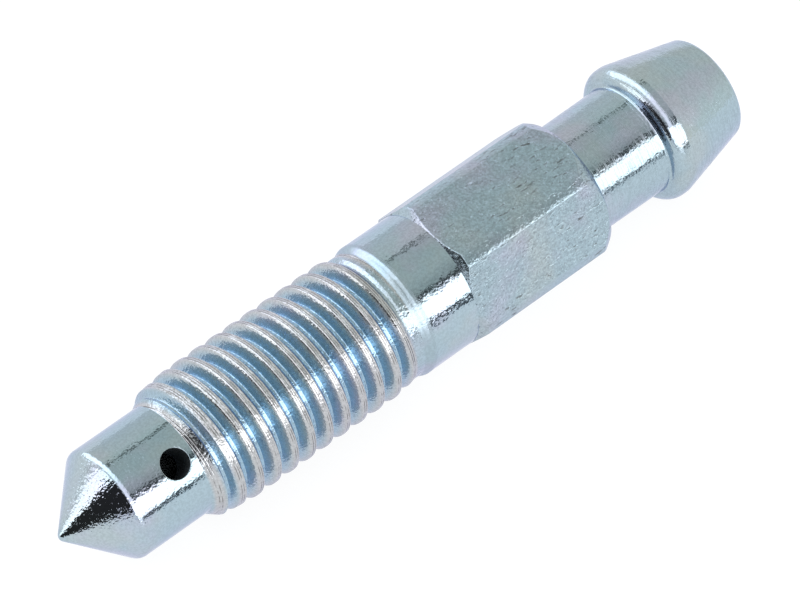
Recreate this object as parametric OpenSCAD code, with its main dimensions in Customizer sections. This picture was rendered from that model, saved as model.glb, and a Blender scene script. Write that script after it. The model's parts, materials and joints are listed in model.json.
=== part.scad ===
// Bleeder screw with a hexagon and a hose nipple, lying on one flat of the hexagon.
// Millimetres. The axis runs along X with the seat cone at -X and the nipple at +X; Z is up.
// Stations along the axis are counted from the sharp point of the seat cone.

/* [Seat] */
// Included angle of the seat cone, degrees
seat_angle = 90; // [80:1:100]
// Radius of the blunt point
point_radius = 0.3; // [0.15:0.05:0.5]
// Diameter of the plain tip behind the cone
tip_diameter = 5.56; // [5.2:0.02:5.6]
// Rounding between the cone and the plain tip
seat_edge_radius = 0.45; // [0.1:0.05:0.8]
// Station where the plain tip ends and the thread begins
tip_end = 6.45; // [6:0.1:7]

/* [Cross hole] */
// Diameter of the radial hole
cross_diameter = 1.42; // [1:0.02:1.8]
// Station of the radial hole
cross_station = 5.46; // [4.6:0.02:5.46]
// Angle of the radial hole above the -Y side
cross_elevation = 59; // [0:1:180]

/* [Thread] */
// Thread pitch
pitch = 1; // [0.8:0.05:1.25]
// Crest diameter of the rolled thread
crest_diameter = 6.88; // [6.8:0.02:7]
// Height of the full crest over the blank that the thread is rolled from
crest_rise = 0.19; // [0.1:0.01:0.25]
// Depth of the root under the crest
thread_depth = 0.54; // [0.5:0.01:0.62]
// Width of the flattened crest
crest_width = 0.3; // [0.1:0.05:0.35]
// Width of the rounded root
root_width = 0.2; // [0.1:0.02:0.3]
// Slope of the blank's chamfer at the start of the thread, degrees
lead_angle = 36; // [25:1:45]
// Length over which the crest fills out behind that chamfer
lead_in = 1.6; // [0.6:0.1:2]
// Station where the thread has run out
thread_end = 18.15; // [16:0.05:19]
// Length of the fading end of the thread
run_out = 0.9; // [0.5:0.1:1.5]
// Station of one crest on the screw's +Y side, which sets how far the helix is turned
crest_station = 7.27; // [6.8:0.01:7.8]
// Steps in one turn of the thread
thread_steps = 36; // [24:4:48]

/* [Shank] */
// Diameter of the plain shank
shank_diameter = 6.8; // [6.6:0.02:6.8]
// Length of the relief between the thread and the shank
relief_length = 0.3; // [0.1:0.05:0.6]
// Length of the slope from the relief up to the shank
relief_slope = 0.45; // [0.2:0.05:0.8]

/* [Hexagon] */
// Width across the flats
across_flats = 6.85; // [6.8:0.05:8]
// Diameter turned over the corners
corner_diameter = 7.55; // [7.4:0.05:8]
// Station where the hexagon begins
hex_start = 21.5; // [20:0.1:23]
// Length of the hexagon
hex_length = 8.06; // [6:0.01:10]
// Length of the chamfered end towards the thread
near_chamfer = 0.3; // [0.1:0.02:0.5]
// Length of the chamfered end towards the nipple
far_chamfer = 0.7; // [0.3:0.05:1]
// Depth of both chamfered ends under the corners
end_drop = 0.4; // [0.2:0.02:0.5]

/* [Nipple] */
// Neck diameter beside the hexagon
neck_diameter = 5.5; // [5.2:0.02:5.6]
// Neck diameter beside the nipple
neck_end_diameter = 5.56; // [5.2:0.02:5.8]
// Station of the nipple's shoulder
shoulder = 33.8; // [32:0.05:36]
// Largest diameter of the nipple
rim_diameter = 6.96; // [6.4:0.02:7.4]
// Rounding of the nipple's rim
rim_radius = 0.6; // [0.2:0.05:0.6]
// Length of the plain land of the rim
rim_land = 0.2; // [0.05:0.05:0.4]
// Fillet between the neck and the shoulder
neck_fillet = 0.18; // [0.1:0.02:0.3]
// Half angle of the nipple's cone, degrees
nipple_slope = 13.3; // [10:0.1:16]
// Overall length from the sharp point of the seat
overall = 38.5; // [37:0.05:40]
// Rounding of the nipple's free end
end_radius = 0.3; // [0.1:0.05:0.4]

/* [Bore] */
// Diameter of the blind bore along the axis
bore_diameter = 2.2; // [1.8:0.1:2.6]
// Chamfer of the bore's mouth
mouth_chamfer = 0.25; // [0.1:0.05:0.4]
// Included angle of the drilled end, degrees
drill_angle = 118; // [90:1:140]

/* [Hidden] */
corner_r = corner_diameter / 2;
face_r = corner_r - end_drop;
blank_r = crest_diameter / 2 - crest_rise;
seat_slope = tan(seat_angle / 2);
cone_length = tip_diameter / 2 / seat_slope;
point_centre = point_radius / sin(seat_angle / 2);
front = point_centre - point_radius;
hex_end = hex_start + hex_length;
relief_end = thread_end + relief_length + relief_slope;
mid_x = (front + overall) / 2;
// Height of the axis: the rim of the nipple reaches a little lower than the flats
rest_height = max(across_flats, rim_diameter, crest_diameter) / 2;
nip_tan = tan(nipple_slope);
// The rim's circle touches the shoulder and the cone, and reaches rim_diameter
rim_x = shoulder + rim_radius;
rim_r = rim_diameter / 2 - rim_radius;
cone_x = rim_x + rim_land + rim_radius * sin(nipple_slope);
cone_r = rim_r + rim_radius * cos(nipple_slope);
end_r = cone_r - (overall - cone_x) * nip_tan;
bore_end = cross_station - cross_diameter / 2 - 0.1;
round_fn = 48;
hole_fn = 72;
ball_fn = 360;

// Unit vector from a to b
function dir(a, b) = (b - a) / norm(b - a);

// Distance from a corner to the points where a circle of radius r touches its two sides
function touch(a, p, b, r) =
    let (h = acos(dir(p, a) * dir(p, b)) / 2)
    r / tan(h);

// Centre of that circle
function corner_centre(a, p, b, r) =
    let (u = dir(p, a), v = dir(p, b), h = acos(u * v) / 2)
    p + (u + v) / norm(u + v) * (r / sin(h));

// The kite between a corner, its two touching points and the circle's centre
module kite(a, p, b, r) {
    t = touch(a, p, b, r);
    polygon([p, p + dir(p, a) * t, corner_centre(a, p, b, r), p + dir(p, b) * t]);
}

// Rounds an outer corner of the profile
module outer_corner(a, p, b, r) {
    difference() {
        children();
        kite(a, p, b, r);
    }
    translate(corner_centre(a, p, b, r)) circle(r = r, $fn = round_fn);
}

// Fills an inner corner of the profile
module inner_corner(a, p, b, r) {
    difference() {
        kite(a, p, b, r);
        translate(corner_centre(a, p, b, r)) circle(r = r, $fn = round_fn);
    }
}

// Turns a profile drawn as radius, station about the axis
module turned() {
    rotate([0, 90, 0])
        rotate([0, 0, 180])
            rotate_extrude($fn = hole_fn) children();
}

// Profile of the seat cone and the plain tip, up to just inside the thread
module seat_profile() {
    r = tip_diameter / 2;
    top = point_centre - point_radius * sin(seat_angle / 2);
    edge = point_radius * cos(seat_angle / 2);
    outer_corner([edge, top], [r, cone_length], [r, tip_end], seat_edge_radius)
        polygon([[0, top], [edge, top], [r, cone_length], [r, tip_end + 0.1], [0, tip_end + 0.1]]);
    intersection() {
        translate([0, point_centre]) circle(r = point_radius, $fn = round_fn);
        polygon([[0, front - 1], [1, front - 1], [1, top + 0.01], [0, top + 0.01]]);
    }
}

// Profile of the relief, the shank and everything behind, with the hexagon left out
module shank_profile() {
    b = blank_r;
    s = shank_diameter / 2;
    n0 = neck_diameter / 2;
    n1 = neck_end_diameter / 2;
    a = [n0, hex_end - 1];
    p = [n1, shoulder];
    q = [rim_r, shoulder];
    tip = [end_r, overall];
    outer_corner([cone_r, cone_x], tip, [0, overall], end_radius)
        polygon([
            [0, thread_end - 0.1], [b, thread_end - 0.1], [b, thread_end + relief_length], [s, relief_end],
            [s, hex_start + 1], [n0, hex_start + 1], [n0, hex_end], p, q,
            [rim_r, rim_x], [rim_diameter / 2, rim_x], [rim_diameter / 2, rim_x + rim_land],
            [rim_r, rim_x + rim_land], [cone_r, cone_x], tip, [0, overall]
        ]);
    for (x = [rim_x, rim_x + rim_land])
        translate([rim_r, x]) circle(r = rim_radius, $fn = round_fn);
    inner_corner([n0, hex_end], p, q, neck_fillet);
}

// Each chamfered end of the hexagon lies on a ball about the axis; this is how far the ball's
// centre lies behind the end face when the chamfer has the given length
function ball_depth(length) =
    (corner_r * corner_r - face_r * face_r + length * length) / (2 * length);

// What such a ball, centred on the axis at station x, leaves over of an end's chamfered length
module outside_ball(x, depth, start, length) {
    difference() {
        translate([0, start]) square([corner_r + 1, length]);
        translate([0, x]) circle(r = sqrt(depth * depth + face_r * face_r), $fn = ball_fn);
    }
}

// Turned envelope of the hexagon: the cylinder over its corners and its two chamfered ends
module hex_envelope() {
    near = ball_depth(near_chamfer);
    far = ball_depth(far_chamfer);
    turned()
        difference() {
            translate([0, hex_start]) square([corner_r, hex_length]);
            outside_ball(hex_start + near, near, hex_start - 1, near_chamfer + 1);
            outside_ball(hex_end - far, far, hex_end - far_chamfer, far_chamfer + 1);
        }
}

module hexagon() {
    intersection() {
        translate([hex_start - 1, 0, 0])
            rotate([0, 90, 0])
                rotate([0, 0, 30])
                    cylinder(d = across_flats / cos(30), h = hex_length + 2, $fn = 6);
        hex_envelope();
    }
}

// One pitch of the thread as [station in the pitch, radius]
flank = (pitch - crest_width - root_width) / 2;
crest = crest_diameter / 2;
root = crest - thread_depth;
shoulder_drop = 0.15 * thread_depth;
ridge = [
    [-crest_width / 2 - flank, root],
    [-crest_width / 2 - flank * 0.08, crest - shoulder_drop],
    [-crest_width / 4, crest],
    [crest_width / 4, crest],
    [crest_width / 2 + flank * 0.08, crest - shoulder_drop],
    [crest_width / 2 + flank, root]
];
m_count = len(ridge);
half_ridge = crest_width / 2 + flank;

// How far the thread's body reaches under the plain parts at its two ends
tuck = 0.1;
tip_r = tip_diameter / 2;

// The blank's chamfer behind the plain tip, and the crest that fills out behind it
function start_limit(x) =
    let (rise = tip_r + (x - tip_end) * tan(lead_angle))
    let (fill_from = tip_end + (blank_r - tip_r) / tan(lead_angle))
    max(tip_r - tuck, min(rise, blank_r + crest_rise * max(0, x - fill_from) / lead_in));

// Radius of the thread's surface at a station whose full profile has radius r
function rolled(x, r) =
    let (full = min(r, start_limit(x)))
    let (keep = min(1, max(0, (thread_end - x) / run_out)))
    blank_r + keep * (full - blank_r) - min(tuck, max(0, (x - thread_end) / 2));

// Angle about the axis at which the helix of the crest reaches a station
function turn(x) = 360 * (x - crest_station) / pitch;

function around(x, r, t) = [x, r * cos(t), r * sin(t)];

// The threaded length as one closed body: helical rows between two end rings
module thread() {
    n = thread_steps;
    first = tip_end - 0.2;
    steps = floor((thread_end + 0.2 - first) / pitch * n);
    start = first - half_ridge - 0.05;
    end = first + pitch * steps / n + half_ridge + 0.05;
    ring0 = [for (j = [0:n - 1]) around(start, tip_r - tuck, turn(first) + 360 * j / n)];
    ring1 = [for (j = [0:n - 1]) around(end, blank_r - tuck, turn(first) + 360 * j / n)];
    rows = [for (i = [0:steps]) for (v = ridge)
        let (x = first + pitch * i / n + v[0])
        around(x, rolled(x, v[1]), turn(first) + 360 * i / n)];
    k1 = n;
    k2 = n + len(rows);
    function at(i, m) = k1 + i * m_count + m;
    function end_ring(i) = k2 + i % n;
    last = m_count - 1;
    faces = concat(
        [[for (j = [0:n - 1]) j]],
        [[for (j = [n - 1:-1:0]) k2 + j]],
        // from the first ring to the first row
        [for (j = [0:n - 2]) each [[j, at(j, 0), j + 1], [j + 1, at(j, 0), at(j + 1, 0)]]],
        [[n - 1, at(n - 1, 0), 0]],
        [for (m = [0:last - 1]) [at(n - 1, 0), at(0, m + 1), at(0, m)]],
        [[at(n - 1, 0), at(0, 0), 0]],
        [[at(n - 1, 0), at(n, 0), at(0, last)]],
        // the ridge
        [for (i = [0:steps - 1]) for (m = [0:last - 1])
            each [[at(i, m), at(i, m + 1), at(i + 1, m)], [at(i + 1, m), at(i, m + 1), at(i + 1, m + 1)]]],
        // the root between two turns
        [for (i = [0:steps - n - 1])
            each [[at(i, last), at(i + n, 0), at(i + 1, last)], [at(i + 1, last), at(i + n, 0), at(i + n + 1, 0)]]],
        // from the last row to the last ring
        [for (i = [steps - n + 1:steps - 1])
            each [[at(i, last), end_ring(i), at(i + 1, last)], [at(i + 1, last), end_ring(i), end_ring(i + 1)]]],
        [[at(steps - n, last), at(steps, 0), at(steps - n + 1, last)]],
        [for (m = [0:last - 1]) [at(steps, m), at(steps, m + 1), at(steps - n + 1, last)]],
        [[at(steps, last), end_ring(steps), at(steps - n + 1, last)]],
        [[at(steps - n + 1, last), end_ring(steps), end_ring(steps + 1)]]
    );
    polyhedron(points = concat(ring0, rows, ring1), faces = faces, convexity = 10);
}

// The blind bore from the nipple's end, with its mouth and its drilled end
module bore() {
    b = bore_diameter / 2;
    turned()
        polygon([
            [0, bore_end - b / tan(drill_angle / 2)], [b, bore_end], [b, overall - mouth_chamfer],
            [b + mouth_chamfer + 0.5, overall + 0.5], [0, overall + 0.5]
        ]);
}

// The radial hole from the plain tip into the bore
module cross_hole() {
    translate([cross_station, 0, 0])
        rotate([90 - cross_elevation, 0, 0])
            cylinder(d = cross_diameter, h = tip_diameter, $fn = round_fn);
}

module bleeder_screw() {
    color("silver")
        translate([-mid_x, 0, rest_height])
            difference() {
                union() {
                    turned() seat_profile();
                    thread();
                    turned() shank_profile();
                    hexagon();
                }
                bore();
                cross_hole();
            }
}

bleeder_screw();
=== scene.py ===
"""Bleeder screw in blue zinc on a pale floor, laid out as a Blender add-on and run as a script."""

import json
import math

import bmesh
import bpy
from bpy.props import FloatProperty, FloatVectorProperty, IntProperty, PointerProperty
from mathutils import Matrix, Vector


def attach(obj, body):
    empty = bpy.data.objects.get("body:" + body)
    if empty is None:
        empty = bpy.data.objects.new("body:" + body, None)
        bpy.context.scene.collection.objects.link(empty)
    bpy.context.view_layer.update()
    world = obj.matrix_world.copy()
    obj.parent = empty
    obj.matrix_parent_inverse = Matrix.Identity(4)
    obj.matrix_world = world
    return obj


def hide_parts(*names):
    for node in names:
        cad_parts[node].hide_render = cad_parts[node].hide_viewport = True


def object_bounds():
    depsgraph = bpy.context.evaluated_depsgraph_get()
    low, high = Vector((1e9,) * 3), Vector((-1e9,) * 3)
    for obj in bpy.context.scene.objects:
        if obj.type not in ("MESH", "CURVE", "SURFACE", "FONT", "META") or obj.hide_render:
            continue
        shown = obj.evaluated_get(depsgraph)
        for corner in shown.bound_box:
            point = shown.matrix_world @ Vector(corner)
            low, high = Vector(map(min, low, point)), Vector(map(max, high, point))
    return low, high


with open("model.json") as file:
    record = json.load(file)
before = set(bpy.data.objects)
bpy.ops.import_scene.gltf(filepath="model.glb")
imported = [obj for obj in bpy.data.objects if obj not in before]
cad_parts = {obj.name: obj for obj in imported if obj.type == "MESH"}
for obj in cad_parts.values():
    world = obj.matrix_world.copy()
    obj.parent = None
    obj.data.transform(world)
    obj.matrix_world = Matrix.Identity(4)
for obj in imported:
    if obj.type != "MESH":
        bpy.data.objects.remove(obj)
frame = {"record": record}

bl_info = {
    "name": "Bleeder screw",
    "version": (1, 0, 0),
    "blender": (4, 5, 0),
    "location": "3D View > Sidebar > Screw",
    "description": "Models a bleeder screw, its zinc finish and its studio stage",
    "category": "Object",
}

MM = 0.001
CAD_LOW, CAD_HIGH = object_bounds()
CAD_NODE = "bleeder_screw"

MOUNTS = {mount["name"]: mount for mount in frame["record"]["mounts"]}
AXIS_HEIGHT = MOUNTS["hose_bore"]["pos_m"][2]
HOLE_AXIS = MOUNTS["cross_hole"]["axis"]
HOLE_ANGLE = math.degrees(math.atan2(HOLE_AXIS[2], HOLE_AXIS[1]))


def length(name, description, millimetres):
    """Property for a length, given in millimetres and kept in metres."""
    return FloatProperty(
        name=name, description=description, default=millimetres * MM, unit="LENGTH", precision=5
    )


def degrees(name, description, value):
    """Property for an angle, given in degrees and kept in radians."""
    return FloatProperty(
        name=name, description=description, default=math.radians(value), subtype="ANGLE"
    )


def colour(name, description, value):
    return FloatVectorProperty(
        name=name, description=description, default=value, subtype="COLOR", size=3, min=0, max=1
    )


def share(name, description, value, high=1.0):
    return FloatProperty(
        name=name, description=description, default=value, min=0.0, max=high, subtype="FACTOR"
    )


class ScrewSizes(bpy.types.PropertyGroup):
    """Stations are counted along the axis from the sharp point of the seat cone."""

    seat_angle: degrees("Seat angle", "Included angle of the seat cone", 90)
    point_radius: length("Point radius", "Radius of the blunt point", 0.3)
    tip_radius: length("Tip radius", "Radius of the plain tip", 2.78)
    seat_edge: length("Seat edge", "Rounding between the cone and the tip", 0.45)
    tip_end: length("Tip end", "Station where the thread begins", 6.45)
    hole_radius: length("Cross hole radius", "Radius of the radial hole", 0.71)
    hole_station: length("Cross hole station", "Station of the radial hole", 5.46)
    pitch: length("Pitch", "Advance of the thread in one turn", 1.0)
    crest_radius: length("Crest radius", "Radius of the full crest", 3.44)
    crest_rise: length("Crest rise", "Height of the crest over the blank", 0.19)
    thread_depth: length("Thread depth", "Depth of the root under the crest", 0.54)
    crest_station: length("Crest station", "Station of a crest on the +Y side", 7.27)
    lead_angle: degrees("Lead angle", "Slope of the blank's chamfer at the thread's start", 36)
    lead_in: length("Lead in", "Length over which the crest fills out", 1.6)
    thread_end: length("Thread end", "Station where the thread has run out", 18.15)
    run_out: length("Run-out", "Length of the fading end of the thread", 0.9)
    relief_length: length("Relief", "Length of the relief behind the thread", 0.3)
    relief_slope: length("Relief slope", "Length of the slope up to the shank", 0.45)
    shank_radius: length("Shank radius", "Radius of the plain shank", 3.4)
    half_flats: length("Half width over flats", "From the axis to a flat", 3.424)
    corner_radius: length("Corner radius", "Radius turned over the corners", 3.772)
    hex_start: length("Hexagon start", "Station where the hexagon begins", 21.5)
    hex_length: length("Hexagon length", "Length of the hexagon", 8.06)
    near_chamfer: length("Near chamfer", "Length of the end towards the thread", 0.3)
    far_chamfer: length("Far chamfer", "Length of the end towards the nipple", 0.7)
    end_drop: length("End drop", "Depth of both ends under the corners", 0.4)
    neck_radius: length("Neck radius", "Radius of the neck beside the hexagon", 2.75)
    neck_end_radius: length("Neck end radius", "Radius of the neck beside the nipple", 2.78)
    neck_fillet: length("Neck fillet", "Fillet between the neck and the shoulder", 0.1)
    shoulder: length("Shoulder", "Station of the nipple's shoulder", 33.8)
    rim_radius: length("Rim radius", "Largest radius of the nipple", 3.475)
    rim_rounding: length("Rim rounding", "Rounding of the nipple's rim", 0.6)
    rim_land: length("Rim land", "Length of the plain land of the rim", 0.2)
    nipple_slope: degrees("Nipple slope", "Half angle of the nipple's cone", 13.3)
    overall: length("Overall length", "Station of the nipple's free end", 38.5)
    end_rounding: length("End rounding", "Rounding of the nipple's free end", 0.3)
    bore_radius: length("Bore radius", "Radius of the blind bore", 1.1)
    mouth_chamfer: length("Mouth chamfer", "Chamfer of the bore's mouth", 0.25)
    drill_angle: degrees("Drill angle", "Included angle of the bore's drilled end", 118)
    edge_break: length("Edge break", "Width of the small breaks along sharp edges", 0.04)


class ScrewDetail(bpy.types.PropertyGroup):
    columns: IntProperty(
        name="Columns", description="Faces round the axis, a multiple of 120", default=120
    )
    thread_rows: IntProperty(
        name="Thread rows", description="Rows of faces in one pitch of the thread", default=32
    )


class FinishColours(bpy.types.PropertyGroup):
    zinc: colour("Zinc", "Main colour of the passivated zinc", (0.41, 0.53, 0.60))
    zinc_warm: colour("Warm zinc", "Greener patches of the zinc", (0.45, 0.535, 0.57))
    zinc_violet: colour("Violet zinc", "Violet patches of the zinc", (0.50, 0.51, 0.64))
    edge_tint: colour("Edge tint", "Colour of the zinc at glancing angles", (0.85, 0.85, 0.98))
    dirt: colour("Residue", "Dark residue in pits and scratches", (0.10, 0.11, 0.11))
    turned_roughness: share("Turned roughness", "Roughness of the turned faces", 0.07)
    rolled_roughness: share("Rolled roughness", "Roughness of the thread", 0.20)
    drawn_roughness: share("Drawn roughness", "Roughness of the hexagon", 0.24)


class StageSettings(bpy.types.PropertyGroup):
    lens: FloatProperty(
        name="Lens", description="Focal length of the camera", default=247.5, unit="CAMERA"
    )
    floor: colour("Floor", "Colour of the floor", (0.95, 0.96, 0.97))
    panel: FloatProperty(
        name="Light panel", description="Power of the front panel", default=1.0, unit="POWER"
    )


# ---------------------------------------------------------------- camera

CAMERA_PLACE = Vector((-98.604, -99.779, 205.371))
CAMERA_TARGET = Vector((2.087, 1.607, 0.231))
CAMERA_UP = Vector((0.52495, 0.63204, 0.57004))


class SCENE_OT_camera(bpy.types.Operator):
    """Sets the camera at the photograph's angle"""

    bl_idname = "screw.camera"
    bl_label = "Camera"

    def execute(self, context):
        data = bpy.data.cameras.new("Camera")
        data.sensor_width = 36
        data.lens = context.scene.screw_stage.lens
        data.clip_start, data.clip_end = 0.01, 10
        back = (CAMERA_PLACE - CAMERA_TARGET).normalized()
        right = CAMERA_UP.cross(back).normalized()
        up = back.cross(right)
        turn = Matrix((right, up, back)).transposed().to_4x4()
        camera = bpy.data.objects.new("Camera", data)
        camera.matrix_world = Matrix.Translation(CAMERA_PLACE * MM) @ turn
        context.scene.collection.objects.link(camera)
        context.scene.camera = camera
        return {"FINISHED"}


# ---------------------------------------------------------------- mesh of the screw


def arc(centre, radius, start, end, steps):
    """Points of an arc as (station, radius), its angles counted from +station towards +radius."""
    points = []
    for i in range(steps + 1):
        angle = start + (end - start) * i / steps
        points.append(
            (centre[0] + radius * math.cos(angle), centre[1] + radius * math.sin(angle))
        )
    return points


class Lathe:
    """Keeps the axis and the columns, and spins profiles given as (station, radius)."""

    def __init__(self, sizes, detail):
        self.s = sizes
        self.columns = detail.columns
        self.rows = detail.thread_rows
        self.step = 2 * math.pi / self.columns
        self.first = math.radians(HOLE_ANGLE) % self.step
        point_centre = sizes.point_radius / math.sin(sizes.seat_angle / 2)
        self.zero = CAD_LOW.x - (point_centre - sizes.point_radius)
        self.bm = bmesh.new()

    def place(self, station, radius, angle):
        return Vector(
            (
                self.zero + station,
                radius * math.cos(angle),
                AXIS_HEIGHT + radius * math.sin(angle),
            )
        )

    def read(self, co):
        """Station, radius and angle of a point."""
        y, z = co.y, co.z - AXIS_HEIGHT
        return co.x - self.zero, math.hypot(y, z), math.atan2(z, y) % (2 * math.pi)

    def column(self, angle):
        return round((angle - self.first) / self.step) % self.columns

    def angle(self, column):
        return self.first + column * self.step

    def wire(self, points):
        verts = [self.bm.verts.new(self.place(x, r, self.first)) for x, r in points]
        edges = [self.bm.edges.new(pair) for pair in zip(verts, verts[1:])]
        return verts + edges

    def spin(self, points):
        """Spins an open profile once round the axis and returns its vertices."""
        known = set(self.bm.verts)
        bmesh.ops.spin(
            self.bm,
            geom=self.wire(points),
            cent=(0, 0, AXIS_HEIGHT),
            axis=(1, 0, 0),
            angle=2 * math.pi,
            steps=self.columns,
            use_merge=True,
        )
        return [v for v in self.bm.verts if v not in known]


def front_profile(s, patch_start, patch_end, patch_rows):
    """Seat cone and plain tip, up to the ring beside the thread."""
    half = s.seat_angle / 2
    centre = s.point_radius / math.sin(half)
    points = arc((centre, 0), s.point_radius, math.pi, math.pi / 2 + half, 6)
    corner = s.tip_radius / math.tan(half)
    touch = s.seat_edge * math.tan(half / 2)
    edge = arc(
        (corner + touch, s.tip_radius - s.seat_edge),
        s.seat_edge,
        math.pi / 2 + half,
        math.pi / 2,
        8,
    )
    start, end = points[-1], edge[0]
    for i in range(1, 8):
        t = i / 8
        points.append((start[0] + (end[0] - start[0]) * t, start[1] + (end[1] - start[1]) * t))
    points += edge
    points.append(((edge[-1][0] + patch_start) / 2, s.tip_radius))
    for i in range(patch_rows + 1):
        points.append((patch_start + (patch_end - patch_start) * i / patch_rows, s.tip_radius))
    return points


class Thread:
    """Radius of the rolled thread and the stations of its helical rows."""

    squeeze = 0.05
    ease_turns = 1.5

    def __init__(self, s, start):
        self.s = s
        self.start = start
        self.blank = s.crest_radius - s.crest_rise
        self.root = s.crest_radius - s.thread_depth
        self.half_crest = 0.13 * s.pitch
        self.half_root = 0.075 * s.pitch
        self.relief_end = s.thread_end + s.relief_length + s.relief_slope
        self.eased = 1 + self.ease_turns
        while self.station(self.turns_guess()) < self.relief_end:
            self.extra += 1

    extra = 0

    def turns_guess(self):
        length = (self.relief_end - self.start) / self.s.pitch
        return int(length) + self.extra

    def station(self, turn):
        """Station of the row that is this many turns along; the rows are squeezed at the start."""
        q = self.squeeze
        if turn <= 1:
            moved = q * turn
        elif turn <= self.eased:
            t = turn - 1
            moved = q + q * t + (1 - q) * t * t / (2 * self.ease_turns)
        else:
            moved = q + (q + 1) * self.ease_turns / 2 + turn - self.eased
        return self.start + self.s.pitch * moved

    def profile(self, station, angle):
        """Full profile of the thread, its flanks eased into the crest and the root."""
        t = (station - self.s.crest_station) / self.s.pitch - angle / (2 * math.pi)
        t = abs(t - round(t)) * self.s.pitch
        reach = self.s.pitch / 2 - self.half_crest - self.half_root
        u = min(1.0, max(0.0, (self.half_crest + reach - t) / reach))
        u = 0.45 * u + 0.55 * u * u * (3 - 2 * u)
        crown = 0.012 * MM * (1 - min(1.0, t / self.half_crest) ** 2)
        return self.root + (self.s.thread_depth - 0.012 * MM) * u + crown

    def radius(self, station, angle):
        s = self.s
        if station <= s.tip_end:
            return s.tip_radius
        rise = s.tip_radius + (station - s.tip_end) * math.tan(s.lead_angle)
        filled = s.tip_end + (self.blank - s.tip_radius) / math.tan(s.lead_angle)
        limit = min(rise, self.blank + s.crest_rise * max(0.0, station - filled) / s.lead_in)
        full = min(self.profile(station, angle), limit)
        keep = min(1.0, max(0.0, (s.thread_end - station) / s.run_out))
        keep = keep * keep * (3 - 2 * keep)
        plain = self.blank
        up = (station - s.thread_end - s.relief_length) / s.relief_slope
        if up > 0:
            up = min(1.0, up)
            plain += (s.shank_radius - self.blank) * up * up * (3 - 2 * up)
        return plain + keep * (full - plain)


def sweep_thread(lathe, thread, turns):
    """Spins one pitch of wire through a turn of the helix, repeats that turn along the axis, and
    then seats every row on the thread's surface. Returns the vertices by column and row."""
    bm, n, rows = lathe.bm, lathe.columns, lathe.rows
    known = set(bm.verts)
    wire = lathe.wire([(MM * k / rows, lathe.s.crest_radius) for k in range(rows + 1)])
    bmesh.ops.spin(
        bm,
        geom=wire,
        cent=(0, 0, AXIS_HEIGHT),
        axis=(1, 0, 0),
        dvec=(MM / n, 0, 0),
        angle=2 * math.pi,
        steps=n,
    )
    turn = [v for v in bm.verts if v not in known]
    turn += [f for f in bm.faces if f.verts[0] not in known]
    for i in range(1, turns):
        copy = bmesh.ops.duplicate(bm, geom=turn)["geom"]
        moved = [g for g in copy if isinstance(g, bmesh.types.BMVert)]
        bmesh.ops.translate(bm, verts=moved, vec=(i * MM, 0, 0))
    swept = [v for v in bm.verts if v not in known]
    bmesh.ops.remove_doubles(bm, verts=swept, dist=MM / rows / 8)
    grid = {}
    for v in [v for v in bm.verts if v not in known]:
        station, _, angle = lathe.read(v.co)
        column = lathe.column(angle)
        row = round((station / MM - column / n) * rows)
        grid[column, row] = v
        station = thread.station(row / rows + column / n)
        angle = lathe.angle(column)
        v.co = lathe.place(station, thread.radius(station, angle), angle)
    return grid


def close_thread(lathe, grid, front, rear, turns):
    """Joins the first and the last helical row to the rings of the tip and of the shank."""
    bm, n, rows = lathe.bm, lathe.columns, lathe.rows
    last = rows * turns
    for j in range(n - 1):
        bm.faces.new((front[j], front[j + 1], grid[j + 1, 0], grid[j, 0]))
    seam = [grid[0, k] for k in range(rows + 1)]
    bm.faces.new([front[n - 1], front[0], *seam, grid[n - 1, 0]])
    for j in range(1, n - 1):
        bm.faces.new((grid[j, last], grid[j + 1, last], rear[j + 1], rear[j]))
    bm.faces.new((grid[n - 1, last], grid[0, last + rows], rear[0], rear[n - 1]))
    seam = [grid[0, last + k] for k in range(rows + 1)]
    bm.faces.new([*seam, rear[0], rear[1], grid[1, last]])


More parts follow.
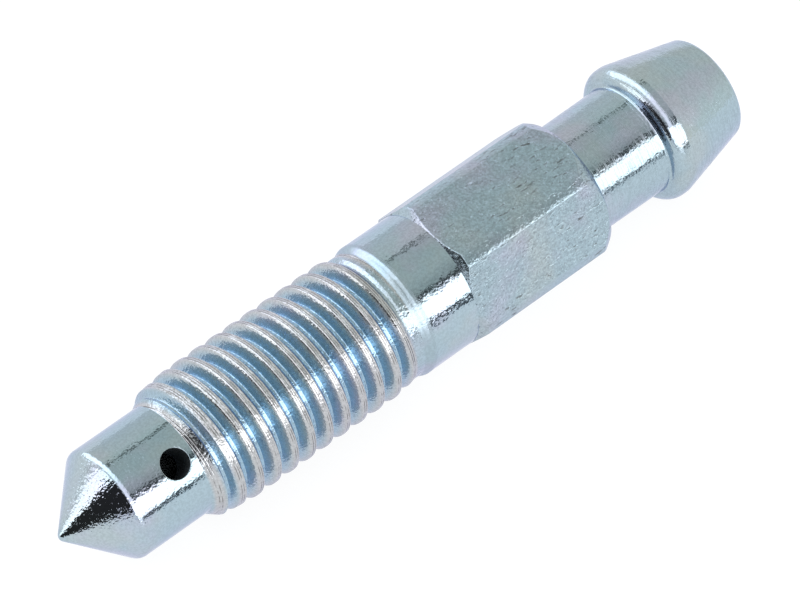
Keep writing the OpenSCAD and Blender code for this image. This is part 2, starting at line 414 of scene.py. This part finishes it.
class Hexagon:
    """Rows of the hexagon: its flats, its corners and the balls that its two ends lie on."""

    ball_rows = 3
    body_rows = 6
    flat_columns = 8

    def __init__(self, lathe):
        s = lathe.s
        self.s, self.lathe = s, lathe
        self.end = s.hex_start + s.hex_length
        self.face = s.corner_radius - s.end_drop
        self.near_depth = self.depth(s.near_chamfer)
        self.far_depth = self.depth(s.far_chamfer)
        self.near_ball = math.hypot(self.near_depth, self.face)
        self.far_ball = math.hypot(self.far_depth, self.face)
        self.corner = math.acos(s.half_flats / s.corner_radius)
        self.marks = []
        self.marks += [("near", i / self.ball_rows) for i in range(self.ball_rows + 1)]
        self.marks += [("body", i) for i in range(self.body_rows + 1)]
        self.marks += [("far", i / self.ball_rows) for i in range(self.ball_rows + 1)]

    def depth(self, chamfer):
        c, f = self.s.corner_radius, self.face
        return (c * c - f * f + chamfer * chamfer) / (2 * chamfer)

    def points(self):
        """Stand-in profile, one point for each row, which seat() moves to its true place."""
        count = len(self.marks)
        span = self.s.hex_length * 0.98
        return [
            (self.s.hex_start + 0.01 * MM + span * i / (count - 1), self.s.corner_radius)
            for i in range(count)
        ]

    def spread(self, column):
        """Angle of a column, moved so that whole columns lie on the hexagon's edges, and the
        distance from the axis of the flat or the corner at that angle."""
        sector = self.lathe.columns // 6
        half = sector // 2
        angle = round((self.lathe.angle(column) - self.lathe.first) / self.lathe.step)
        top = round(math.pi / 2 / self.lathe.step)
        offset = (angle - top + half) % sector - half
        centre = (angle - offset) * self.lathe.step
        m, sign = abs(offset), (1 if offset >= 0 else -1)
        inner = self.flat_columns
        if m < inner:
            width = self.s.half_flats * math.tan(self.corner) - 0.07 * MM
            turn = math.atan(width * m / (inner - 1) / self.s.half_flats)
        else:
            turn = self.corner + (m - inner) / (half - inner) * (math.pi / 6 - self.corner)
        radius = min(self.s.corner_radius, self.s.half_flats / math.cos(turn))
        return centre + sign * turn, radius

    def seat(self, verts):
        keys = [round((p[0]) / MM, 3) for p in self.points()]
        by_station = dict(zip(keys, self.marks))
        s = self.s
        for v in verts:
            station, _, angle = self.lathe.read(v.co)
            mark = by_station.get(round(station / MM, 3))
            if mark is None:
                continue
            angle, flat = self.spread(self.lathe.column(angle))
            near = s.hex_start + self.near_depth
            near_edge = near - math.sqrt(self.near_ball**2 - flat**2)
            far = self.end - self.far_depth
            far_edge = far + math.sqrt(self.far_ball**2 - flat**2)
            kind, t = mark
            if kind == "near":
                first = near - math.sqrt(self.near_ball**2 - s.shank_radius**2)
                x = first + (near_edge - first) * t
                r = min(flat, math.sqrt(self.near_ball**2 - (near - x) ** 2))
            elif kind == "far":
                x = far_edge + (self.end - far_edge) * t
                r = min(flat, math.sqrt(max(0.0, self.far_ball**2 - (x - far) ** 2)))
            else:
                start, stop = near_edge + 0.07 * MM, far_edge - 0.07 * MM
                x, r = start + (stop - start) * t / self.body_rows, flat
            v.co = self.lathe.place(x, r, angle)


def rear_profile(s, hexagon, ring, patch_start, patch_end, patch_rows):
    """Shank, hexagon, neck, nipple and the whole bore, back to its drilled end."""
    points = [(ring, s.shank_radius), (s.hex_start - 0.25 * MM, s.shank_radius)]
    points += hexagon.points()
    end = hexagon.end
    for r in (hexagon.face - 0.05 * MM, s.neck_radius + 0.3 * MM, s.neck_radius):
        points.append((end, r))
    flat, low = s.shoulder - s.neck_fillet, s.neck_end_radius
    for i in range(1, 9):
        t = i / 9
        points.append((end + (flat - end) * t, s.neck_radius + (low - s.neck_radius) * t))
    fillet = (flat, low + s.neck_fillet)
    points += arc(fillet, s.neck_fillet, -math.pi / 2, 0, 3)
    rim = s.rim_radius - s.rim_rounding
    centre = s.shoulder + s.rim_rounding
    points += arc((centre, rim), s.rim_rounding, math.pi, math.pi / 2, 12)[
        (1 if rim - fillet[1] < 0.01 * MM else 0) :
    ]
    back = (centre + s.rim_land, rim)
    points += arc(back, s.rim_rounding, math.pi / 2, math.pi / 2 - s.nipple_slope, 3)
    start = points[-1]
    slope = math.tan(s.nipple_slope)
    end_radius = start[1] - (s.overall - start[0]) * slope
    half = (math.pi / 2 + s.nipple_slope) / 2
    touch = s.end_rounding / math.tan(half)
    axis = (s.overall - s.end_rounding, end_radius - touch)
    rounding = arc(axis, s.end_rounding, math.pi / 2 - s.nipple_slope, 0, 6)
    for i in range(1, 6):
        t = i / 6
        points.append(
            (
                start[0] + (rounding[0][0] - start[0]) * t,
                start[1] + (rounding[0][1] - start[1]) * t,
            )
        )
    points += rounding
    b = s.bore_radius
    points.append((s.overall, (rounding[-1][1] + b + s.mouth_chamfer) / 2))
    points.append((s.overall, b + s.mouth_chamfer))
    points.append((s.overall - s.mouth_chamfer, b))
    for i in range(1, 6):
        points.append((s.overall + (patch_end - s.overall) * i / 6, b))
    for i in range(patch_rows, -1, -1):
        points.append((patch_start + (patch_end - patch_start) * i / patch_rows, b))
    bore_end = s.hole_station - s.hole_radius - 0.1 * MM
    points.append((bore_end, b))
    points.append((bore_end - b / math.tan(s.drill_angle / 2), 0))
    return points


def open_patch(lathe, radius, start, end, reach):
    """Deletes the faces round the hole on one wall and returns the edges left open."""
    slack = 0.01 * MM
    middle = lathe.column(math.radians(HOLE_ANGLE))
    inside = set()
    for face in lathe.bm.faces:
        if len(face.verts) > 4:
            continue
        marks = [lathe.read(v.co) for v in face.verts]
        if all(
            abs(r - radius) < slack
            and start - slack < x < end + slack
            and abs((lathe.column(t) - middle + lathe.columns // 2) % lathe.columns
                    - lathe.columns // 2) <= reach
            for x, r, t in marks
        ):
            inside.add(face)
    rim = {e for f in inside for e in f.edges if sum(g in inside for g in e.link_faces) == 1}
    bmesh.ops.delete(lathe.bm, geom=list(inside), context="FACES")
    return [e for e in rim if e.is_valid]


def hole_point(lathe, radius, angle):
    """Point where the hole's wall meets a cylinder about the axis, at an angle round the hole."""
    s = lathe.s
    side = s.hole_radius * math.sin(angle)
    turn = math.radians(HOLE_ANGLE) + math.asin(side / radius)
    return lathe.place(s.hole_station + s.hole_radius * math.cos(angle), radius, turn)


def round_hole(lathe, co):
    """Angle of a point round the hole's axis."""
    station, radius, angle = lathe.read(co)
    side = radius * math.sin(angle - math.radians(HOLE_ANGLE))
    return math.atan2(side, station - lathe.s.hole_station)


def drill(lathe, outer, inner):
    """Joins the opening in the tip to the one in the bore by the wall of the cross hole."""
    bm, s = lathe.bm, lathe.s
    made = bmesh.ops.extrude_edge_only(bm, edges=outer)["geom"]
    ring = [g for g in made if isinstance(g, bmesh.types.BMVert)]
    for v in ring:
        v.co = hole_point(lathe, s.tip_radius, round_hole(lathe, v.co))
    edges = [g for g in made if isinstance(g, bmesh.types.BMEdge) and
             all(v in ring for v in g.verts)]
    spokes = [e for v in ring for e in v.link_edges if e not in edges]
    made = bmesh.ops.subdivide_edges(bm, edges=spokes, cuts=2, use_grid_fill=True)
    for v in {g for g in made["geom_inner"] if isinstance(g, bmesh.types.BMVert)}:
        station, _, angle = lathe.read(v.co)
        v.co = lathe.place(station, s.tip_radius, angle)
    made = bmesh.ops.extrude_edge_only(bm, edges=edges)["geom"]
    low = [g for g in made if isinstance(g, bmesh.types.BMVert)]
    for v in low:
        v.co = hole_point(lathe, s.bore_radius, round_hole(lathe, v.co))
    wall = [g for g in made if isinstance(g, bmesh.types.BMEdge) and all(v in low for v in g.verts)]
    bmesh.ops.bridge_loops(bm, edges=wall + inner)
    return edges


def build_screw(s, detail):
    """Closed mesh of the whole screw, in metres in the row frame."""
    lathe = Lathe(s, detail)
    bm = lathe.bm
    patch = (s.hole_station - 0.82 * MM, s.hole_station + 0.82 * MM)
    front = lathe.spin(front_profile(s, *patch, 24))
    thread = Thread(s, patch[1] + 0.02 * MM)
    turns = 15
    ring = thread.station(turns + 1) + 0.06 * MM
    grid = sweep_thread(lathe, thread, turns)
    hexagon = Hexagon(lathe)
    bore_patch = (s.hole_station - 0.80 * MM, s.hole_station + 0.80 * MM)
    rear = lathe.spin(rear_profile(s, hexagon, ring, *bore_patch, 6))
    hexagon.seat([v for v in rear if v.is_valid])

    def ring_at(verts, station, radius):
        found = {}
        for v in verts:
            x, r, t = lathe.read(v.co)
            if abs(x - station) < 0.002 * MM and abs(r - radius) < 0.01 * MM:
                found[lathe.column(t)] = v
        return found

    close_thread(
        lathe,
        grid,
        ring_at([v for v in front if v.is_valid], patch[1], s.tip_radius),
        ring_at([v for v in rear if v.is_valid], ring, s.shank_radius),
        turns,
    )
    bmesh.ops.remove_doubles(bm, verts=bm.verts, dist=0.0005 * MM)
    outer = open_patch(lathe, s.tip_radius, *patch, 6)
    inner = open_patch(lathe, s.bore_radius, *bore_patch, 15)
    rim = drill(lathe, outer, inner)
    bmesh.ops.recalc_face_normals(bm, faces=bm.faces)
    break_edges(lathe, hexagon, rim)
    return lathe


def break_edges(lathe, hexagon, rim):
    """Breaks the hole's rim and the hexagon's edges by a small bevel."""
    s = lathe.s
    sharp = [e for e in rim if e.is_valid]
    for e in lathe.bm.edges:
        (x0, r0, _), (x1, r1, _) = (lathe.read(v.co) for v in e.verts)
        low = s.hex_start + 0.001 * MM
        if min(x0, x1) > low and max(x0, x1) <= hexagon.end + 0.001 * MM and min(r0, r1) > 3.35 * MM:
            if len(e.link_faces) == 2 and e.calc_face_angle_signed() > math.radians(14):
                sharp.append(e)
    bmesh.ops.bevel(
        lathe.bm,
        geom=list(set(sharp)),
        offset=s.edge_break,
        offset_type="OFFSET",
        segments=2,
        profile=0.5,
        affect="EDGES",
        clamp_overlap=True,
        material=-1,
    )


def finish_mesh(lathe, name):
    """Sets smooth shading with creases, checks that the mesh is closed, and makes the object."""
    bm = lathe.bm
    bad = [e for e in bm.edges if len(e.link_faces) != 2]
    if bad:
        spots = [tuple(round(c / MM, 2) for c in lathe.read(e.verts[0].co)[:2]) for e in bad[:8]]
        raise RuntimeError(f"{len(bad)} open or crowded edges, such as {spots}")
    for face in bm.faces:
        face.smooth = True
    for edge in bm.edges:
        edge.smooth = edge.calc_face_angle(0) < math.radians(32)
    mesh = bpy.data.meshes.new(name)
    bm.to_mesh(mesh)
    bm.free()
    piece = bpy.data.objects.new(name, mesh)
    bpy.context.scene.collection.objects.link(piece)
    return piece


# ---------------------------------------------------------------- materials


class Nodes:
    """Short forms for adding and linking shader nodes."""

    def __init__(self, tree):
        self.tree = tree

    def add(self, kind, inputs=(), **settings):
        node = self.tree.nodes.new(kind)
        for key, value in settings.items():
            setattr(node, key, value)
        for key, value in dict(inputs).items():
            socket = node.inputs[key]
            if isinstance(value, bpy.types.NodeSocket):
                self.tree.links.new(value, socket)
            else:
                socket.default_value = value
        return node

    def math(self, operation, *values, clamp=False):
        return self.add(
            "ShaderNodeMath", dict(enumerate(values)), operation=operation, use_clamp=clamp
        ).outputs[0]

    def span(self, value, low, high, to_low=0.0, to_high=1.0):
        """Maps a value from one span to another with soft ends."""
        inputs = {"Value": value, 1: low, 2: high, 3: to_low, 4: to_high}
        return self.add(
            "ShaderNodeMapRange", inputs, interpolation_type="SMOOTHSTEP"
        ).outputs["Result"]

    def mix(self, factor, a, b):
        node = self.add("ShaderNodeMix", data_type="RGBA")
        for socket, value in ((node.inputs[0], factor), (node.inputs[6], a), (node.inputs[7], b)):
            if isinstance(value, bpy.types.NodeSocket):
                self.tree.links.new(value, socket)
            else:
                socket.default_value = value
        return node.outputs[2]

    def noise(self, vector, scale, detail=2.0, roughness=0.5, distortion=0.0):
        inputs = {
            "Vector": vector,
            "Scale": scale,
            "Detail": detail,
            "Roughness": roughness,
            "Distortion": distortion,
        }
        return self.add("ShaderNodeTexNoise", inputs).outputs["Fac"]

    def stretched(self, vector, location=(0, 0, 0), scale=(1, 1, 1), rotation=(0, 0, 0)):
        inputs = {"Vector": vector, "Location": location, "Scale": scale, "Rotation": rotation}
        return self.add("ShaderNodeMapping", inputs).outputs[0]


def rgba(value):
    return (*value, 1.0)


def new_group(name, inputs, outputs):
    """Shader node group with named float inputs and the given outputs."""
    tree = bpy.data.node_groups.new(name, "ShaderNodeTree")
    for label, value in inputs:
        kind = "NodeSocketVector" if value is None else "NodeSocketFloat"
        socket = tree.interface.new_socket(label, in_out="INPUT", socket_type=kind)
        if value is not None:
            socket.default_value = value
    for label, kind in outputs:
        tree.interface.new_socket(label, in_out="OUTPUT", socket_type=kind)
    nodes = Nodes(tree)
    source = nodes.add("NodeGroupInput")
    sink = nodes.add("NodeGroupOutput")
    return tree, nodes, source.outputs, sink.inputs


def zinc_grain_group():
    """Height of the plated surface: crystal grain, shallow dimples and pits."""
    tree, n, source, sink = new_group(
        "Zinc grain",
        [("Vector", None), ("Grain", 1.0), ("Dimples", 0.5), ("Pits", 0.5)],
        [("Height", "NodeSocketFloat"), ("Speckle", "NodeSocketFloat")],
    )
    vector = source["Vector"]
    fine = n.noise(vector, 7500, 1.0, 0.5)
    wide = n.noise(vector, 2600, 2.0, 0.5)
    spots = n.noise(n.stretched(vector, (0.3, 0.1, 0.2)), 4200, 4.0, 0.7, 0.4)
    pits = n.span(spots, 0.62, 0.72)
    height = n.math("MULTIPLY", fine, source["Grain"])
    height = n.math("MULTIPLY_ADD", wide, source["Dimples"], height)
    sunk = n.math("MULTIPLY", pits, source["Pits"])
    n.tree.links.new(n.math("SUBTRACT", height, sunk), sink["Height"])
    specks = n.noise(n.stretched(vector, (0.5, 0.6, 0.2)), 8500, 2.0, 0.6)
    n.tree.links.new(n.span(specks, 0.36, 0.64), sink["Speckle"])
    return tree


def tint_group():
    """Masks of the two tints of the passivation, as broad patches along the surface."""
    tree, n, source, sink = new_group(
        "Passivation tint",
        [("Vector", None), ("Scale", 300.0)],
        [("Warm", "NodeSocketFloat"), ("Violet", "NodeSocketFloat")],
    )
    patches = n.noise(source["Vector"], source["Scale"], 3.0, 0.55)
    other = n.noise(n.stretched(source["Vector"], (0.7, 0.2, 0.5)), source["Scale"], 3.0, 0.55)
    n.tree.links.new(n.span(patches, 0.42, 0.66), sink["Warm"])
    n.tree.links.new(n.span(other, 0.46, 0.70), sink["Violet"])
    return tree


class Finish:
    """Zinc material under construction: shared groups first, then what its own surface adds."""

    def __init__(self, name, colours, groups, grain, dimples, pits, roughness):
        self.colours = colours
        self.material = bpy.data.materials.new(name)
        self.material.use_nodes = True
        tree = self.material.node_tree
        tree.nodes.clear()
        self.n = n = Nodes(tree)
        self.vector = n.add("ShaderNodeTexCoord").outputs["Object"]
        self.grain = n.add("ShaderNodeGroup", node_tree=groups["grain"])
        tree.links.new(self.vector, self.grain.inputs["Vector"])
        self.grain.inputs["Grain"].default_value = grain
        self.grain.inputs["Dimples"].default_value = dimples
        self.grain.inputs["Pits"].default_value = pits
        self.tint = n.add("ShaderNodeGroup", node_tree=groups["tint"])
        tree.links.new(self.vector, self.tint.inputs["Vector"])
        self.height = self.grain.outputs["Height"]
        self.roughness = roughness
        self.streaks = 0.0
        base = n.mix(self.tint.outputs["Warm"], rgba(colours.zinc), rgba(colours.zinc_warm))
        part = n.math("MULTIPLY", self.tint.outputs["Violet"], 0.7)
        self.base = n.mix(part, base, rgba(colours.zinc_violet))

    def polar(self):
        """Place along the axis and distance from it, in millimetres, and turns round the axis."""
        n = self.n
        axes = n.add("ShaderNodeSeparateXYZ", {"Vector": self.vector}).outputs
        height = n.math("SUBTRACT", axes["Z"], AXIS_HEIGHT)
        turn = n.math("DIVIDE", n.math("ARCTAN2", height, axes["Y"]), 2 * math.pi)
        square = n.math("MULTIPLY_ADD", height, height, n.math("MULTIPLY", axes["Y"], axes["Y"]))
        radius = n.math("DIVIDE", n.math("SQRT", square), MM)
        return n.math("DIVIDE", axes["X"], MM), radius, turn

    def complete(self, bump, speckle=0.2):
        n = self.n
        part = n.math("MULTIPLY", self.grain.outputs["Speckle"], speckle)
        self.base = n.mix(part, self.base, rgba(self.colours.dirt))
        worn = n.noise(self.vector, 900, 3.0, 0.6)
        rough = n.math("MULTIPLY", worn, 0.5)
        rough = n.math("ADD", rough, 0.75)
        rough = n.math("MULTIPLY", rough, self.roughness)
        rough = n.math("MULTIPLY_ADD", self.streaks, 0.22, rough)
        normal = n.add(
            "ShaderNodeBump", {"Height": self.height, "Distance": bump, "Strength": 1.0}
        ).outputs["Normal"]
        shader = n.add(
            "ShaderNodeBsdfPrincipled",
            {
                "Base Color": self.base,
                "Metallic": 1.0,
                "Roughness": rough,
                "Normal": normal,
                "Specular Tint": rgba(self.colours.edge_tint),
            },
        )
        n.add("ShaderNodeOutputMaterial", {"Surface": shader.outputs[0]})
        return self.material


def turned_zinc(colours, groups):
    """Turned faces: fine rings from the tool under the plating."""
    f = Finish("Zinc on turned steel", colours, groups, 1.0, 0.5, 0.2, colours.turned_roughness)
    n = f.n
    station, radius, turn = f.polar()
    cone = n.span(station, -16.6, -16.2, 1.0, 0.5)
    f.height = n.math("MULTIPLY", f.height, cone)
    along = n.math("MULTIPLY_ADD", radius, 1.7, station)
    ring = n.add("ShaderNodeCombineXYZ", {"X": along, "Y": turn}).outputs[0]
    rings = n.noise(n.stretched(ring, scale=(7, 3, 1)), 1.0, 1.0, 0.5)
    f.height = n.math("MULTIPLY_ADD", rings, 0.35, f.height)
    sway = n.noise(f.vector, 1000, 2.0, 0.5)
    shank = n.math("MULTIPLY", n.span(station, -1.6, -0.2), n.span(station, 2.2, 2.3, 1.0, 0.0))
    sway = n.math("MULTIPLY", sway, n.math("MULTIPLY_ADD", shank, 1.6, 0.9))
    f.height = n.math("ADD", f.height, sway)
    streaks = n.noise(n.stretched(ring, scale=(16, 22, 1)), 1.0, 2.0, 0.6)
    neck = n.span(station, 10.2, 10.4)
    f.streaks = n.math("MULTIPLY", n.span(streaks, 0.45, 0.62), neck)
    relief = n.math("MULTIPLY", n.span(station, -1.2, -1.0), n.span(station, -0.35, -0.2, 1.0, 0.0))
    f.streaks = n.math("MAXIMUM", f.streaks, relief)
    f.base = n.mix(n.math("MULTIPLY", f.streaks, 0.1), f.base, rgba(colours.dirt))
    return f.complete(0.018 * MM, 0.15)


def rolled_zinc(colours, groups):
    """Rolled thread: a painted highlight over the crests and upper flanks, painted shade in the
    roots, and a fine seam along the crest.
    """
    f = Finish("Zinc on rolled thread", colours, groups, 1.2, 1.0, 0.3, colours.rolled_roughness)
    n = f.n
    station, _, turn = f.polar()
    sizes = bpy.context.scene.screw_sizes
    point_centre = sizes.point_radius / math.sin(sizes.seat_angle / 2)
    zero = (CAD_LOW.x - (point_centre - sizes.point_radius) + sizes.crest_station) / MM
    t = n.math("SUBTRACT", n.math("SUBTRACT", station, zero), turn)
    t = n.math("ABSOLUTE", n.math("SUBTRACT", n.math("FRACT", n.math("ADD", t, 0.5)), 0.5))
    seam = n.math("ABSOLUTE", n.math("SUBTRACT", t, 0.055))
    seam = n.span(seam, 0.0, 0.03, 1.0, 0.0)
    f.height = n.math("MULTIPLY_ADD", seam, -0.5, f.height)
    # Crests and upper flanks painted a lighter grey: a painted highlight along the crests.
    crest = n.span(t, 0.12, 0.30, 0.8, 0.0)
    f.base = n.mix(crest, f.base, rgba((0.57, 0.56, 0.56)))
    broken = n.span(n.noise(f.vector, 1500, 2.0, 0.6), 0.40, 0.56)
    f.base = n.mix(n.math("MULTIPLY", seam, broken), f.base, rgba((0.16, 0.15, 0.15)))
    # Roots between the thread's two ends painted a blue a little darker than the zinc: painted shade
    # in the roots.
    begun = n.math("MULTIPLY", n.span(station, -12.5, -11.9), n.span(station, -1.9, -1.3, 1.0, 0.0))
    root = n.math("MULTIPLY", n.span(t, 0.22, 0.40, 0.0, 0.9), begun)
    f.base = n.mix(root, f.base, rgba((0.35, 0.52, 0.66)))
    return f.complete(0.018 * MM)


def drawn_zinc(colours, groups):
    """Hexagon of drawn bar: slanted scratches and dark pits in a duller plating."""
    f = Finish("Zinc on drawn hexagon", colours, groups, 0.7, 0.9, 0.6, colours.drawn_roughness)
    n = f.n
    slant = n.stretched(f.vector, scale=(1600, 6500, 6500), rotation=(0.0, 0.3, 0.7))
    marks = n.span(n.noise(slant, 1.0, 2.0, 0.6), 0.585, 0.69)
    crowd = n.span(n.noise(f.vector, 420, 2.0, 0.6), 0.35, 0.65, 0.25, 0.9)
    marks = n.math("MULTIPLY", marks, crowd)
    f.base = n.mix(n.math("MULTIPLY", marks, 0.9), f.base, rgba(colours.dirt))
    f.height = n.math("MULTIPLY_ADD", marks, -0.8, f.height)
    return f.complete(0.02 * MM, 0.22)


def darkened_bore(colours, groups):
    """Wall of the bore and of the cross hole, darkened most of the way to the residue colour."""
    f = Finish("Bore", colours, groups, 0.5, 0.5, 0.5, 0.5)
    f.base = f.n.mix(0.85, f.base, rgba(colours.dirt))
    return f.complete(0.01 * MM)


class SCENE_OT_screw(bpy.types.Operator):
    """Models the screw with its helical thread, hexagon, nipple, bore and cross hole"""

    bl_idname = "screw.model"
    bl_label = "Screw"

    def execute(self, context):
        scene = context.scene
        s = scene.screw_sizes
        lathe = build_screw(s, scene.screw_detail)
        zero = lathe.zero
        piece = finish_mesh(lathe, "Bleeder_screw")
        groups = {"grain": zinc_grain_group(), "tint": tint_group()}
        for make in (turned_zinc, rolled_zinc, drawn_zinc, darkened_bore):
            piece.data.materials.append(make(scene.screw_finish, groups))
        for face in piece.data.polygons:
            station = face.center.x - zero
            radius = math.hypot(face.center.y, face.center.z - AXIS_HEIGHT)
            face.material_index = self.finish_at(s, station, radius)
        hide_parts(CAD_NODE)
        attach(piece, "root")
        return {"FINISHED"}

    def finish_at(self, s, station, radius):
        """Index of the finish at a place: turned faces, thread, hexagon or the inside."""
        slack = 0.01 * MM
        if s.hole_station - s.hole_radius - slack < station < s.overall - s.mouth_chamfer:
            in_hole = station < s.tip_end and radius < s.tip_radius - 10 * slack
            if radius < s.bore_radius + slack or in_hole:
                return 3
        if s.tip_end < station < s.thread_end + s.relief_length:
            return 1
        if s.hex_start < station < s.hex_start + s.hex_length - slack:
            return 2
        return 0


# ---------------------------------------------------------------- stage

TOWARDS_CAMERA = Vector((0.0, -0.4431, 0.8965))
DOWN_PICTURE = Vector((0.0, -0.8965, -0.4431))


class SCENE_OT_stage(bpy.types.Operator):
    """Lays the pale floor and sets the studio light"""

    bl_idname = "screw.stage"
    bl_label = "Stage"

    def execute(self, context):
        settings = context.scene.screw_stage
        self.floor(context, settings)
        self.world(context)
        self.panel(context, settings)
        view = context.scene.view_settings
        view.view_transform = "Standard"
        return {"FINISHED"}

    def floor(self, context, settings):
        bm = bmesh.new()
        bmesh.ops.create_grid(bm, x_segments=1, y_segments=1, size=1.5)
        mesh = bpy.data.meshes.new("Floor")
        bm.to_mesh(mesh)
        bm.free()
        floor = bpy.data.objects.new("Floor", mesh)
        context.scene.collection.objects.link(floor)
        material = bpy.data.materials.new("Pale floor")
        material.use_nodes = True
        tree = material.node_tree
        tree.nodes.clear()
        n = Nodes(tree)
        lit = n.add("ShaderNodeBsdfDiffuse", {"Color": rgba(settings.floor)}).outputs[0]
        glow = n.add("ShaderNodeEmission", {"Color": (1, 1, 1, 1), "Strength": 1.06}).outputs[0]
        seen = n.add("ShaderNodeMixShader", {0: 0.8, 1: lit, 2: glow}).outputs[0]
        path = n.add("ShaderNodeLightPath").outputs
        direct = n.math("MAXIMUM", path["Is Camera Ray"], path["Is Glossy Ray"])
        direct = n.math("MAXIMUM", direct, path["Is Transmission Ray"])
        out = n.add("ShaderNodeMixShader", {0: direct, 1: lit, 2: seen}).outputs[0]
        n.add("ShaderNodeOutputMaterial", {"Surface": out})
        mesh.materials.append(material)

    def world(self, context):
        """Room round the stage: plain walls, lighter at the back, darker beside the panel."""
        world = bpy.data.worlds.new("Studio")
        context.scene.world = world
        world.use_nodes = True
        tree = world.node_tree
        tree.nodes.clear()
        n = Nodes(tree)
        way = n.add("ShaderNodeTexCoord").outputs["Generated"]

        def along(axis):
            return n.add(
                "ShaderNodeVectorMath", {0: way, 1: axis}, operation="DOT_PRODUCT"
            ).outputs["Value"]

        turn = n.math("ARCTAN2", along(DOWN_PICTURE), along(TOWARDS_CAMERA))
        turn = n.math("DIVIDE", n.math("ADD", turn, math.pi), 2 * math.pi)
        ramp = n.add("ShaderNodeValToRGB", {"Fac": turn})
        stops = [
            (-180, (0.80, 0.82, 0.86)),
            (-118, (0.82, 0.83, 0.84)),
            (-80, (0.82, 0.82, 0.78)),
            (-64, (0.75, 0.79, 0.74)),
            (-62.5, (0.10, 0.12, 0.11)),
            (-60, (0.10, 0.12, 0.11)),
            (-58.5, (0.64, 0.68, 0.65)),
            (-40, (0.62, 0.67, 0.64)),
            (-12, (0.64, 0.69, 0.66)),
            (8, (0.46, 0.50, 0.48)),
            (13.5, (0.06, 0.07, 0.07)),
            (17, (0.06, 0.07, 0.07)),
            (19, (1.0, 1.0, 1.0)),
            (55, (1.0, 1.0, 1.0)),
            (57, (0.04, 0.05, 0.06)),
            (61, (0.04, 0.05, 0.06)),
            (62.5, (0.85, 0.90, 0.95)),
            (180, (0.80, 0.82, 0.86)),
        ]
        elements = ramp.color_ramp.elements
        while len(elements) > 1:
            elements.remove(elements[-1])
        for i, (angle, value) in enumerate(stops):
            place = (angle + 180) / 360
            element = elements[0] if i == 0 else elements.new(place)
            element.position, element.color = place, rgba(value)
        side = along((-1, 0, 0))
        left = n.span(side, 0.62, 0.74)
        drop = along(DOWN_PICTURE)
        dark = n.math("MULTIPLY", n.span(drop, -0.42, -0.38), n.span(drop, 0.42, 0.46, 1.0, 0.0))
        wall = n.mix(left, ramp.outputs["Color"], (0.86, 0.88, 0.98, 1))
        right = n.span(side, -0.64, -0.54, 1.0, 0.0)
        plain = n.mix(n.span(drop, -0.3, 0.5), (0.82, 0.83, 0.78, 1), (1.0, 1.0, 0.94, 1))
        wall = n.mix(right, wall, plain)
        glint = n.math("MULTIPLY", n.span(side, -0.28, 0.0), n.span(side, 0.35, 0.65, 1.0, 0.0))
        shine = n.mix(n.span(drop, -0.85, -0.25), (2.2, 2.3, 2.5, 1), (1.5, 1.5, 1.55, 1))
        wall = n.mix(glint, wall, shine)
        bright = n.math("MULTIPLY", n.span(drop, -0.82, -0.58), n.span(drop, -0.42, -0.37, 1, 0))
        sky = n.mix(n.math("MULTIPLY", left, dark), wall, (0.03, 0.03, 0.03, 1))
        sky = n.mix(n.math("MULTIPLY", left, bright), sky, (2.2, 2.2, 2.2, 1))
        path = n.add("ShaderNodeLightPath").outputs
        sky = n.mix(path["Is Camera Ray"], sky, (1, 1, 1, 1))
        back = n.add("ShaderNodeBackground", {"Color": sky, "Strength": 1.0})
        n.add("ShaderNodeOutputWorld", {"Surface": back.outputs[0]})

    def panel(self, context, settings):
        """Long soft panel in front of the screw, low over the floor."""
        angle = math.radians(37.5)
        way = (TOWARDS_CAMERA * math.cos(angle) + DOWN_PICTURE * math.sin(angle)).normalized()
        light = bpy.data.lights.new("Front panel", "AREA")
        light.shape = "RECTANGLE"
        distance = 0.45
        light.size, light.size_y = 0.8, 2 * distance * math.tan(math.radians(15))
        light.energy = settings.panel
        lamp = bpy.data.objects.new("Front panel", light)
        right = Vector((1, 0, 0))
        up = way.cross(right)
        turn = Matrix((right, up, way)).transposed().to_4x4()
        place = way * distance + Vector((0.02, 0, AXIS_HEIGHT))
        lamp.matrix_world = Matrix.Translation(place) @ turn
        context.scene.collection.objects.link(lamp)


class VIEW3D_PT_screw(bpy.types.Panel):
    """Lists the sizes, colours and steps of the screw"""

    bl_label = "Bleeder screw"
    bl_idname = "VIEW3D_PT_screw"
    bl_space_type = "VIEW_3D"
    bl_region_type = "UI"
    bl_category = "Screw"

    def draw(self, context):
        scene = context.scene
        for group in (scene.screw_sizes, scene.screw_detail, scene.screw_finish, scene.screw_stage):
            box = self.layout.box()
            for name in group.__annotations__:
                box.prop(group, name)
        for step in STEPS:
            self.layout.operator(step)


STEPS = ("screw.camera", "screw.model", "screw.stage")
GROUPS = {
    "screw_sizes": ScrewSizes,
    "screw_detail": ScrewDetail,
    "screw_finish": FinishColours,
    "screw_stage": StageSettings,
}
CLASSES = (
    *GROUPS.values(),
    SCENE_OT_camera,
    SCENE_OT_screw,
    SCENE_OT_stage,
    VIEW3D_PT_screw,
)


def register():
    for cls in CLASSES:
        bpy.utils.register_class(cls)
    for name, cls in GROUPS.items():
        setattr(bpy.types.Scene, name, PointerProperty(type=cls))


def unregister():
    for name in GROUPS:
        delattr(bpy.types.Scene, name)
    for cls in reversed(CLASSES):
        bpy.utils.unregister_class(cls)


def main():
    register()
    bpy.ops.screw.camera()
    bpy.ops.screw.model()
    bpy.ops.screw.stage()


if __name__ == "__main__":
    main()
